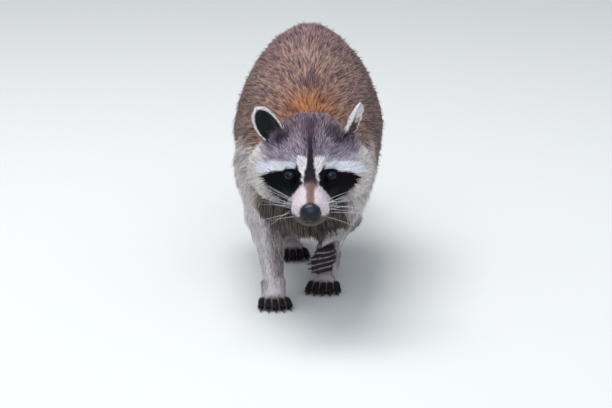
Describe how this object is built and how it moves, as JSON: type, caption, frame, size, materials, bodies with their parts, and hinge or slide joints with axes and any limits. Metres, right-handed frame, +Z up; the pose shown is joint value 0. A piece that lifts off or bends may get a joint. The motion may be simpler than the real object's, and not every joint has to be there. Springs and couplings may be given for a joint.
{
  "type": "raccoon",
  "caption": "Life-size still raccoon walking with its head low and one forepaw lifted, standing on the flat soles of its other feet.",
  "frame": {"origin": "on the floor, midway along and across the raccoon's box", "axes": "+Z up, the raccoon faces -Y, +X is its own left"},
  "size_m": [0.1802, 0.7406, 0.2872],
  "materials": {
    "coat": "long grizzled fur, brown and grey with dark tips",
    "face": "short fur, grey with a black mask, white brows and white muzzle",
    "leg": "short pale grey-brown fur",
    "tail": "bushy fur in pale and dark rings",
    "ear": "short fur, white rim and dark inside",
    "paw": "dark skin with very short fur",
    "nose": "wet black, finely pebbled",
    "eye": "polished, nearly black",
    "claw": "dark horn, satin"
  },
  "bodies": {
    "root": {"head": "face", "neck": "coat", "trunk": "coat", "tail_base": "tail", "tail_middle": "tail", "tail_tip": "tail", "ear_left": "ear", "ear_right": "ear", "eye_left": "eye", "eye_right": "eye", "nose": "nose", "upper_foreleg_right": "coat", "lower_foreleg_right": "leg", "forepaw_right": "paw", "upper_foreleg_left": "coat", "lower_foreleg_left": "leg", "forepaw_left": "paw", "thigh_left": "coat", "shin_left": "leg", "hindpaw_left": "paw", "thigh_right": "coat", "shin_right": "leg", "hindpaw_right": "paw", "claw_forepaw_right_1": "claw", "claw_forepaw_right_2": "claw", "claw_forepaw_right_3": "claw", "claw_forepaw_right_4": "claw", "claw_forepaw_right_5": "claw", "claw_forepaw_left_1": "claw", "claw_forepaw_left_2": "claw", "claw_forepaw_left_3": "claw", "claw_forepaw_left_4": "claw", "claw_forepaw_left_5": "claw", "claw_hindpaw_left_1": "claw", "claw_hindpaw_left_2": "claw", "claw_hindpaw_left_3": "claw", "claw_hindpaw_left_4": "claw", "claw_hindpaw_left_5": "claw", "claw_hindpaw_right_1": "claw", "claw_hindpaw_right_2": "claw", "claw_hindpaw_right_3": "claw", "claw_hindpaw_right_4": "claw", "claw_hindpaw_right_5": "claw"}
  },
  "joints": []
}
